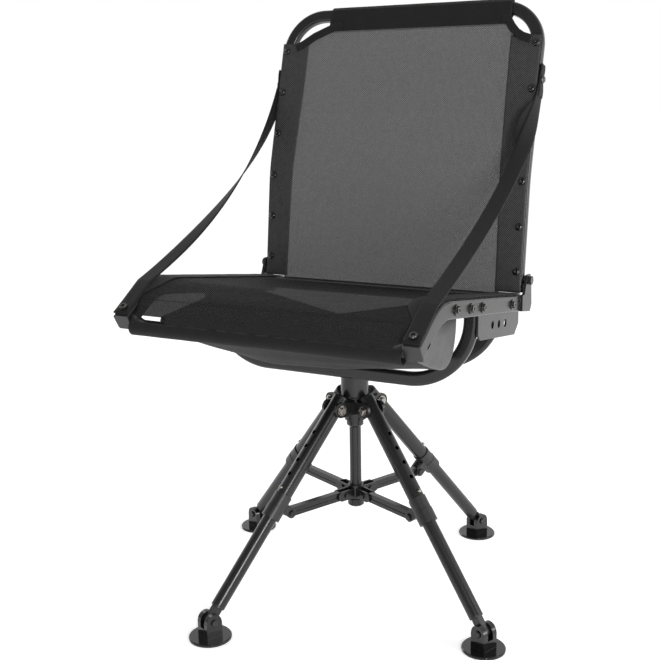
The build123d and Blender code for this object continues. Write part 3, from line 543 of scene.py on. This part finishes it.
def make_back():
    """The centre panel, its side bands, the bound corners and the top sleeve."""
    bottom = -0.006

    def centre(u, v):
        x = (2 * u - 1) * mesh_half(0.486 + 0.42 * v)
        top = back_run.distance_at(corner_limit(x), 1)
        return on_back(x, bottom + (top - bottom) * v, CLOTH_LIFT + back_sag(x, v))

    panel = cloth("back_panel", 96, 90, centre, BACK_MESH, "backrest")
    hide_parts("back_fabric")
    for side, name in SIDES:
        def band(u, v, side=side):
            z = BAND_LOW_Z + BAND_RISE * v
            inner, outer = mesh_half(z) - 0.006, BACK_X + 0.0078
            x = inner + (outer - inner) * u
            ripple = 0.0007 * noise.noise(Vector((x * 40, z * 30, side))) if u < 0.5 else 0.0
            lift = 0.0022 + back_sag(x, min(v, 0.9)) * 0.5 + ripple
            return on_back(side * x, back_run.distance_at(z, 1), lift)

        edge = cloth(f"back_band_{name}", 14, 80, band, SIDE_MESH, "backrest")
        make_corner(side, name)
    make_top_sleeve()


def make_corner(side, name):
    """The bound edge of the cut-out at a top corner: tape folded over the mesh's curved edge."""
    edge = [Vector(p) for p in CORNER_EDGE[side]]
    width = 0.0125

    def tape(u, v):
        k, share = step_at(edge, v)
        p, q = edge[k], edge[k + 1]
        before, after = edge[max(k - 1, 0)], edge[min(k + 2, len(edge) - 1)]
        run = (q - before).lerp(after - p, share).normalized()
        x, z = p.lerp(q, share) + Vector((-run.y, run.x)) * (width * u - 0.002)
        return on_back(side * x, back_run.distance_at(z, 1), 0.0034 + 0.0010 * math.sin(math.pi * u))

    bound = cloth(f"back_corner_tape_{name}", 8, 40, tape, HEM_CLOTH, "backrest", thick=0.0026)


def make_top_sleeve():
    """Solid cloth sleeve round the top tube, closed below by a hem over the mesh."""
    low = back_run.distance_at(MESH_TOP_Z - 0.004, 1)
    top = back_run.length
    half_width, half_depth, gap = BACK_HALF_WIDTH, BACK_HALF_DEPTH, 0.0020

    def outline(v):
        """Front from hem to tube, over the top and down the rear, as (distance, raised off the front face)."""
        stations = [(low, gap), (top - half_width, gap), (top + half_width * 0.6, gap),
                    (top + half_width + gap, -half_depth * 0.4), (top + half_width + gap, -half_depth * 1.6),
                    (top + half_width * 0.6, -2 * half_depth - gap), (top - half_width, -2 * half_depth - gap),
                    (low, -0.004), (low - 0.001, -0.0012)]
        k, share = step_at(stations, v)
        return [a + (b - a) * share for a, b in zip(stations[k], stations[k + 1])]

    def sleeve(u, v):
        x = SLEEVE_LEFT_X + SLEEVE_LENGTH * u + 0.006 * (1 - 2 * u) * v
        distance, raised = outline(v)
        slack = 0.0006 * noise.noise(Vector((x * 25, v * 6, 3.0)))
        y, z = back_run.at(distance, BACK_HALF_DEPTH + raised + slack, (-1, 0))
        return Vector((x, y, z))

    wrap = cloth("back_top_sleeve", 80, 48, sleeve, HEM_CLOTH, "backrest", thick=0.0016)


# ---------- straps ----------
STRAP_STEPS = 60


def bezier(points, share):
    """The point at a share along a curve drawn by its control points."""
    level = [Vector(p) for p in points]
    while len(level) > 1:
        level = [a.lerp(b, share) for a, b in zip(level, level[1:])]
    return level[0]


def strap_stations(side):
    """Centre, across and face vectors down one strap, from the back's bolt to the rail's front end."""
    start_x = BACK_X + BACK_HALF_WIDTH + 0.0004 + STRAP_THICK / 2
    stations = []
    for k in range(STRAP_STEPS + 1):
        share = k / STRAP_STEPS
        here, ahead = bezier(STRAP_CURVE, share), bezier(STRAP_CURVE, min(1, share + 0.01))
        behind = bezier(STRAP_CURVE, max(0, share - 0.01))
        along = Vector((0, ahead.x - behind.x, ahead.y - behind.y)).normalized()
        eased = ease(share * (1.15 if side < 0 else 2.4))
        x = side * (start_x + (RAIL_X - start_x) * ease(share))
        face_up = Vector((0, along.z, -along.y))
        angle = math.pi / 2 * (1 - eased)
        across = Vector((math.cos(angle), 0, 0)) - face_up * side * math.sin(angle)
        stations.append((Vector((x, here.x, here.y)), across.normalized(), along))
    lift = CLOTH + 0.0006 + STRAP_THICK / 2
    for from_end in (0.033, 0.022, 0.012, 0.001):
        point = on_seat(side * RAIL_X, seat_run.length - from_end, lift)
        before = on_seat(side * RAIL_X, seat_run.length - from_end - 0.01, lift)
        stations.append((point, Vector((1, 0, 0)), (point - before).normalized()))
    return stations


def make_strap(side, name):
    """One strap's webbing, with its doubled end and, at the right, a slack fold."""
    stations = strap_stations(side)

    def band(u, v):
        k, share = step_at(stations, v)
        centre = stations[k][0].lerp(stations[k + 1][0], share)
        across = stations[k][1].lerp(stations[k + 1][1], share).normalized()
        return centre + across * (u - 0.5) * STRAP_WIDTH

    strap = cloth(f"strap_web_{name}", 6, 128, band, WEBBING, None, thick=STRAP_THICK)
    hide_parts(f"strap_{name}")
    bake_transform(strap)
    make_strap_end(side, name)
    if side > 0:
        make_strap_fold(stations)


def make_strap_end(side, name):
    """The strap's doubled end, flat on the side of the back frame under its bolt."""
    def tab(u, v):
        distance = back_run.distance_at(0.797 + 0.050 * v, 1)
        spread = STRAP_WIDTH * (0.86 - 0.14 * v) * (u - 0.5)
        y, z = back_run.at(distance, spread, (-1, 0))
        out = BACK_X + BACK_HALF_WIDTH + 0.0016 + 0.0006 * math.sin(9 * v)
        return Vector((side * out, y, z))

    end = cloth(f"strap_end_{name}", 6, 16, tab, WEBBING, "backrest", thick=STRAP_THICK * 1.4)


def make_strap_fold(stations):
    """A slack fold of webbing that bulges from the inner edge of the right strap near its upper end."""
    first, last = 5, 17

    def fold(u, v):
        at = first + (last - first) * v
        k = min(int(at), last - 1)
        centre = stations[k][0].lerp(stations[k + 1][0], at - k)
        across = stations[k][1].lerp(stations[k + 1][1], at - k).normalized()
        reach = STRAP_WIDTH * 0.44 + 0.014 * math.sin(math.pi * v) ** 0.6 * u
        return centre - across * reach + Vector((0, 0.0045, 0.002)) * (0.4 + u)

    slack = cloth("strap_fold_right", 8, 40, fold, WEBBING, None, thick=STRAP_THICK)
    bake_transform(slack)


# ---------- screws ----------
WASHER = [(0.0078, 0.0), (0.0078, 0.0016), (0.0056, 0.0020)]
LOBED_GRIP = [(0.0060, 0.0015), (0.0060, 0.0046), (0.0050, 0.0052)]
STRAP_GRIP = [(0.0064, 0.0), (0.0064, 0.0030), (0.0050, 0.0044)]
BUTTON_DOME = [(0.0030, -0.0012), (0.0030, 0.0004), (0.0026, 0.0012), (0.0017, 0.0018), (0.0008, 0.0020)]
DOME = [(0.0062, 0.0), (0.0062, 0.0010), (0.0056, 0.0024), (0.0044, 0.0034), (0.0024, 0.0039)]
RAIL_SCREW_Y = (-0.176, -0.118, -0.070, 0.068)
BACK_SCREW_LOW_Z, BACK_SCREW_RISE, BACK_SCREWS_A_SIDE = 0.5245, 0.354, 6


def make_seat_screws():
    """Lobed heads on washers along the rails' outer faces, and the straps' screws at their front ends."""
    parts = []
    for side in (-1, 1):
        for y in RAIL_SCREW_Y:
            _, z = seat_run.at(seat_run.distance_at(y, 0))
            point = Vector((side * (RAIL_X + RAIL_HALF), y, z))
            parts.append(placed(turned(WASHER, 0, 0, (0.0050, 0.0)), point, (side, 0, 0)))
            grip = turned(LOBED_GRIP, 5, 0.22, (0.0026, 0.0018))
            parts.append(placed(grip, point, (side, 0, 0), y * 40))
        point = on_seat(side * RAIL_X, seat_run.length - 0.012, CLOTH + STRAP_THICK + 0.0008)
        normal = on_seat(0, seat_run.length - 0.012, 0.01) - on_seat(0, seat_run.length - 0.012)
        grip = turned(STRAP_GRIP, 6, 0.10, (0.0030, 0.0022))
        parts.append(placed(grip, point, normal))
    made = joined("seat_screw_heads", parts, BLACK_STEEL, "seat")
    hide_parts("seat_screws")


def make_back_screws():
    """Domed heads that hold the bands to the back frame."""
    parts = []
    for side in (-1, 1):
        for k in range(BACK_SCREWS_A_SIDE):
            z = BACK_SCREW_LOW_Z + BACK_SCREW_RISE * k / (BACK_SCREWS_A_SIDE - 1)
            distance = back_run.distance_at(z, 1)
            point = on_back(side * BACK_X, distance, 0.0026)
            normal = on_back(0, distance, 0.01) - on_back(0, distance)
            parts.append(placed(turned(DOME, 0, 0, (0.0020, 0.0012)), point, normal))
    made = joined("back_screw_heads", parts, GLOSS_PLASTIC, "backrest", smooth=True)
    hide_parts("back_screws")


# ---------- pouch ----------
def make_pouch():
    """Soft cloth pouch slung under the seat's front half, open along its sagging rear rim; its body is drawn in
    the dark hem cloth as painted shade from the seat above, and only its end walls in the grey felt.
    """
    low, high = (Vector(c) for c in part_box("under_seat_pouch"))
    front, rear = low.y + 0.003, high.y + 0.0095
    left, right = -0.190, high.x
    mouth_z, rim_low_z, rim_high_z, rim_from = 0.492, 0.480, 0.512, 0.875
    outline = [(front, mouth_z), (front, 0.470), (-0.225, 0.447), (-0.190, 0.425), (-0.150, 0.4205),
               (-0.112, 0.4205), (rear - 0.008, 0.428), (rear, 0.446), (rear, rim_low_z)]

    def section(share):
        """A smooth line through the outline's points."""
        k, t = step_at(outline, share)
        before, after = outline[max(k - 1, 0)], outline[min(k + 2, len(outline) - 1)]
        point = []
        for o, a, b, c in zip(before, outline[k], outline[k + 1], after):
            square, cubic = 2 * o - 5 * a + 4 * b - c, 3 * a - o - 3 * b + c
            point.append(0.5 * (2 * a + (b - o) * t + square * t * t + cubic * t ** 3))
        return point

    def shell(u, v):
        """A point of the pouch: u goes from its left end to its right, v from its front round to its rear rim."""
        y, z = section(v)
        share = (1 - abs(2 * u - 1)) / 0.05
        swell = math.sqrt(max(0.0, 1 - (1 - min(1.0, share)) ** 2))
        x = left + (right - left) * u
        top = min(rim_high_z, rim_low_z + 0.024 * abs(x - 0.012) / 0.12)
        rim = mouth_z + (top - mouth_z) * v
        if v > rim_from:
            z += (top - rim_low_z) * (v - rim_from) / (1 - rim_from)
        hang = 1 - 0.36 * (x / 0.2) ** 2 * (1 - ease((y + 0.20) / 0.10) * ease(x / 0.1))
        z = rim - (rim - z) * hang * (0.04 + 0.96 * swell)
        y = y + (-0.165 - y) * 0.10 * (1 - swell)
        ripple = noise.noise(Vector((x * 11, y * 26, z * 26))) * 0.004 * swell
        return Vector((x, y, max(low.z, z + ripple * min(1, max(0, rim - z) / 0.03))))

    seam, thick = 0.025, 0.0022

    def body(u, v):
        return shell(seam + (1 - 2 * seam) * u, v)

    # The body takes the dark hem cloth instead of the pouch's grey felt: painted shade for the seat's shadow over
    # the pouch's front and floor.
    pouch = cloth("pouch_cloth_painted_shade", 110, 64, body, HEM_CLOTH, "seat", thick=thick)
    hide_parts("under_seat_pouch")
    for start, name in ((0.0, "left"), (1 - seam, "right")):
        def end_wall(u, v, start=start):
            return shell(start + seam * u, v)

        gusset = cloth(f"pouch_gusset_{name}", 16, 64, end_wall, FELT, "seat", thick=thick)


# ---------- small details ----------
LEG_AZIMUTHS = (-114.0, -24.0, 66.0, 156.0)
LEG_TOP, LEG_FOOT = (0.042, 0.314), (0.293, 0.028)
BUTTON_ALONG, BUTTON_RAISED = 0.153, 0.0139
WELD_X, WELD_Y, WELD_LOW_Z, WELD_RISE, WELD_STEPS = 0.2402, 0.1075, 0.4665, 0.0245, 14


def on_leg(azimuth, along, raised):
    """A point square off a leg's upper side, by distance down its centre line, and that side's direction."""
    run = Vector((LEG_FOOT[0] - LEG_TOP[0], LEG_FOOT[1] - LEG_TOP[1])).normalized()
    radial = Vector((math.cos(math.radians(azimuth)), math.sin(math.radians(azimuth)), 0))
    out = radial * -run.y + Vector((0, 0, run.x))
    down = radial * run.x + Vector((0, 0, run.y))
    return radial * LEG_TOP[0] + Vector((0, 0, LEG_TOP[1])) + down * along + out * raised, out


def make_button_caps():
    """Polished domes on the spring buttons."""
    for number, azimuth in enumerate(LEG_AZIMUTHS, start=1):
        point, out = on_leg(azimuth, BUTTON_ALONG, BUTTON_RAISED)
        part = placed(turned(BUTTON_DOME, 0, 0, (0.0006, 0.0)), point, out)
        joined(f"button_cap_{number}", [part], BRIGHT_ZINC, f"button_{number}", smooth=True)


def make_weld_beads():
    """Weld between each rail's rear end and its hinge bracket."""
    for side, name in SIDES:
        points = []
        for k in range(WELD_STEPS + 1):
            wobble = 0.0005 * math.sin(k * 2.3)
            z = WELD_LOW_Z + WELD_RISE * k / WELD_STEPS
            points.append(Vector((side * (WELD_X + wobble), WELD_Y + wobble, z)))
        tube_along(points, 0.0016, f"weld_bead_{name}", FRAME_BLACK, "seat")


# ---------- stage, camera and light ----------
def make_stage():
    """A pale floor, and a white studio that is dimmer in front of the chair than behind it."""
    floor = piece("floor", [(-30, -30, 0), (30, -30, 0), (30, 30, 0), (-30, 30, 0)], [(0, 1, 2, 3)],
                  bpy.data.materials.new("floor"), None, smooth=False)
    material = floor.data.materials[0]
    material.use_nodes = True
    shader = material.node_tree.nodes["Principled BSDF"]
    shader.inputs["Base Color"].default_value = (0.97, 0.97, 0.97, 1)
    shader.inputs["Roughness"].default_value = 0.9
    shader.inputs["Specular IOR Level"].default_value = 0.1
    shader.inputs["Emission Color"].default_value = (1, 1, 1, 1)
    shader.inputs["Emission Strength"].default_value = 0.3
    world = bpy.data.worlds.new("studio")
    world.use_nodes = True
    tree = world.node_tree
    direction = tree.nodes.new("ShaderNodeTexCoord").outputs["Generated"]
    axes = tree.nodes.new("ShaderNodeSeparateXYZ")
    level = tree.nodes.new("ShaderNodeMapRange")
    front_y, rear_y, front_level, rear_level = -0.5, 0.15, 0.38, 1.0
    level.inputs["From Min"].default_value = front_y
    level.inputs["From Max"].default_value = rear_y
    level.inputs["To Min"].default_value = front_level
    level.inputs["To Max"].default_value = rear_level
    tree.links.new(direction, axes.inputs[0])
    tree.links.new(axes.outputs["Y"], level.inputs["Value"])
    tree.links.new(level.outputs[0], tree.nodes["Background"].inputs["Strength"])
    tree.nodes["Background"].inputs["Color"].default_value = (1, 1, 1, 1)
    bpy.context.scene.world = world
    bpy.context.scene.view_settings.view_transform = "Standard"


def area_light(name, place, target, size, power):
    """A rectangular lamp at a place, turned to a target."""
    data = bpy.data.lights.new(name, "AREA")
    data.shape = "RECTANGLE"
    data.size, data.size_y = size
    data.energy = power
    made = bpy.data.objects.new(name, data)
    made.location = place
    made.rotation_euler = (Vector(target) - Vector(place)).to_track_quat("-Z", "Y").to_euler()
    bpy.context.scene.collection.objects.link(made)


def make_lights():
    area_light("key", (1.7, -2.2, 0.95), (0, 0, 0.55), (0.35, 1.1), 42)
    area_light("right_fill", (2.6, 0.2, 0.9), (0, 0, 0.5), (0.9, 1.6), 34)
    area_light("left_rim", (-2.2, 0.8, 1.2), (0, 0, 0.4), (0.8, 1.6), 8)


def make_camera():
    """The camera, at the height of a standing viewer, turned left and tipped down."""
    yaw, pitch, roll = math.radians(27.68), math.radians(13.12), -0.0169
    forward = Vector((-math.sin(yaw) * math.cos(pitch), math.cos(yaw) * math.cos(pitch), -math.sin(pitch)))
    right = Vector((math.cos(yaw), math.sin(yaw), 0))
    up = right.cross(forward)
    level_right = right * math.cos(roll) + up * math.sin(roll)
    level_up = up * math.cos(roll) - right * math.sin(roll)
    data = bpy.data.cameras.new("camera")
    data.lens, data.sensor_width = 56.53, 36.0
    camera = bpy.data.objects.new("camera", data)
    turn = Matrix((level_right, level_up, -forward)).transposed().to_4x4()
    camera.matrix_world = Matrix.Translation((0.7199, -1.4557, 0.8158)) @ turn
    bpy.context.scene.collection.objects.link(camera)
    bpy.context.scene.camera = camera


make_flap(make_seat())
make_back()
for strap_side, strap_name in SIDES:
    make_strap(strap_side, strap_name)
make_seat_screws()
make_back_screws()
make_pouch()
make_weld_beads()
make_button_caps()
make_stage()
make_lights()
make_camera()
